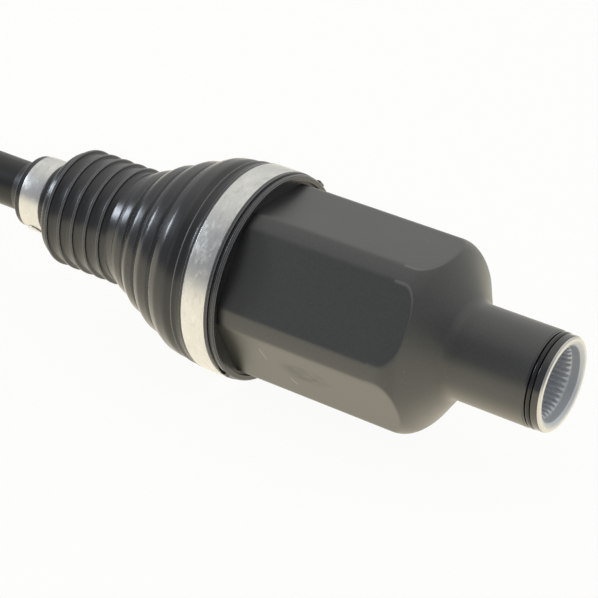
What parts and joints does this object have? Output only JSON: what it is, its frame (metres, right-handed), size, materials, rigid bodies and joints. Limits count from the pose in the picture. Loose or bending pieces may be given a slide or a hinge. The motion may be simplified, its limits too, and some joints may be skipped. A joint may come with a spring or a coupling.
{
  "type": "drive shaft",
  "caption": "Front-wheel drive half shaft: splined tripod joint housing at one end, bar between, ball joint with splined stub axle at the other, both joints under rubber boots.",
  "frame": {"origin": "centre of the splined sleeve's mouth, on the shaft line", "axes": "+X out of the splined sleeve's mouth along the shaft line, +Z square to one flat of the six-sided housing"},
  "size_m": [0.643, 0.0932, 0.0944],
  "materials": {
    "black_paint": "matte",
    "bar_paint": "satin",
    "boot_rubber": "gloss",
    "outer_boot_rubber": "satin",
    "seal_rubber": "gloss",
    "adapter_plastic": "matte",
    "clamp_steel": "satin",
    "pressed_steel": "satin",
    "joint_steel": "ground",
    "bearing_steel": "polished",
    "spring_steel": "dark",
    "cage_steel": "ground",
    "machined_steel": "machined"
  },
  "bodies": {
    "housing": {"inner_housing": "black_paint", "sleeve_seal_ring": "seal_rubber", "grease_plug": "pressed_steel", "housing_adapter": "adapter_plastic", "inner_boot": "boot_rubber", "inner_large_clamp": "clamp_steel"},
    "roller_carriage": {"trunnion_ring_2": "bearing_steel", "needle_set_2": "bearing_steel", "trunnion_ring_3": "bearing_steel", "needle_set_3": "bearing_steel"},
    "top_ring": {"trunnion_ring_1": "bearing_steel", "needle_set_1": "bearing_steel"},
    "roller_one": {"roller_1": "bearing_steel", "roller_retainer_1": "spring_steel"},
    "roller_two": {"roller_2": "bearing_steel", "roller_retainer_2": "spring_steel"},
    "roller_three": {"roller_3": "bearing_steel", "roller_retainer_3": "spring_steel"},
    "shaft": {"tripod_spider": "joint_steel", "spider_circlip": "spring_steel", "shaft_bar": "bar_paint", "inner_small_clamp": "clamp_steel", "inner_race": "joint_steel", "race_circlip": "spring_steel", "outer_boot": "outer_boot_rubber", "outer_small_clamp": "clamp_steel"},
    "bell": {"outer_bell": "machined_steel", "outer_large_clamp": "clamp_steel"},
    "cage": {"ball_cage": "cage_steel"},
    "ball_1": {"race_ball_1": "bearing_steel"},
    "ball_2": {"race_ball_2": "bearing_steel"},
    "ball_3": {"race_ball_3": "bearing_steel"},
    "ball_4": {"race_ball_4": "bearing_steel"},
    "ball_5": {"race_ball_5": "bearing_steel"},
    "ball_6": {"race_ball_6": "bearing_steel"}
  },
  "joints": [
    {"name": "inner_plunge", "type": "slide", "parent": "housing", "child": "roller_carriage", "axis": [1, 0, 0], "range_m": [-0.018, 0.018], "deforming": ["inner_boot"]},
    {"name": "inner_tilt", "type": "hinge", "parent": "roller_carriage", "child": "shaft", "pos_m": [-0.104, 0, -0.013], "axis": [0, 1, 0], "range_deg": [-16, 16], "deforming": ["inner_boot"]},
    {"name": "top_ring_slide", "type": "slide", "parent": "roller_carriage", "child": "top_ring", "axis": [1, 0, 0], "range_m": [-0.0109, 0.0109]},
    {"name": "roller_one_spin", "type": "hinge", "parent": "top_ring", "child": "roller_one", "pos_m": [-0.104, 0, 0], "axis": [0, 0, 1], "continuous": true},
    {"name": "roller_two_spin", "type": "hinge", "parent": "roller_carriage", "child": "roller_two", "pos_m": [-0.104, 0, 0], "axis": [0, -0.866, -0.5], "continuous": true},
    {"name": "roller_three_spin", "type": "hinge", "parent": "roller_carriage", "child": "roller_three", "pos_m": [-0.104, 0, 0], "axis": [0, 0.866, -0.5], "continuous": true},
    {"name": "outer_tilt", "type": "hinge", "parent": "shaft", "child": "bell", "pos_m": [-0.53, 0, 0], "axis": [0, 1, 0], "range_deg": [-45, 45], "deforming": ["outer_boot"]},
    {"name": "cage_tilt", "type": "hinge", "parent": "shaft", "child": "cage", "pos_m": [-0.53, 0, 0], "axis": [0, 1, 0], "range_deg": [-22.6, 22.6]},
    {"name": "ball_1_roll", "type": "hinge", "parent": "shaft", "child": "ball_1", "pos_m": [-0.534, 0, 0], "axis": [0, 0.5, -0.866], "range_deg": [-11.6, 11.6]},
    {"name": "ball_2_roll", "type": "hinge", "parent": "shaft", "child": "ball_2", "pos_m": [-0.534, 0, 0], "axis": [0, 1, 0], "range_deg": [-22.6, 22.6]},
    {"name": "ball_3_roll", "type": "hinge", "parent": "shaft", "child": "ball_3", "pos_m": [-0.534, 0, 0], "axis": [0, 0.5, 0.866], "range_deg": [-11.6, 11.6]},
    {"name": "ball_4_roll", "type": "hinge", "parent": "shaft", "child": "ball_4", "pos_m": [-0.534, 0, 0], "axis": [0, -0.5, 0.866], "range_deg": [-11.6, 11.6]},
    {"name": "ball_5_roll", "type": "hinge", "parent": "shaft", "child": "ball_5", "pos_m": [-0.534, 0, 0], "axis": [0, -1, 0], "range_deg": [-22.6, 22.6]},
    {"name": "ball_6_roll", "type": "hinge", "parent": "shaft", "child": "ball_6", "pos_m": [-0.534, 0, 0], "axis": [0, -0.5, -0.866], "range_deg": [-11.6, 11.6]}
  ],
  "couplings": [
    {"joint": "top_ring_slide", "follows": "inner_tilt", "m_per_rad": 0.0386},
    {"joint": "cage_tilt", "follows": "outer_tilt", "ratio": 0.5},
    {"joint": "ball_1_roll", "follows": "outer_tilt", "ratio": 0.2555},
    {"joint": "ball_2_roll", "follows": "outer_tilt", "ratio": 0.5},
    {"joint": "ball_3_roll", "follows": "outer_tilt", "ratio": 0.2555},
    {"joint": "ball_4_roll", "follows": "outer_tilt", "ratio": -0.2555},
    {"joint": "ball_5_roll", "follows": "outer_tilt", "ratio": -0.5},
    {"joint": "ball_6_roll", "follows": "outer_tilt", "ratio": -0.2555}
  ]
}
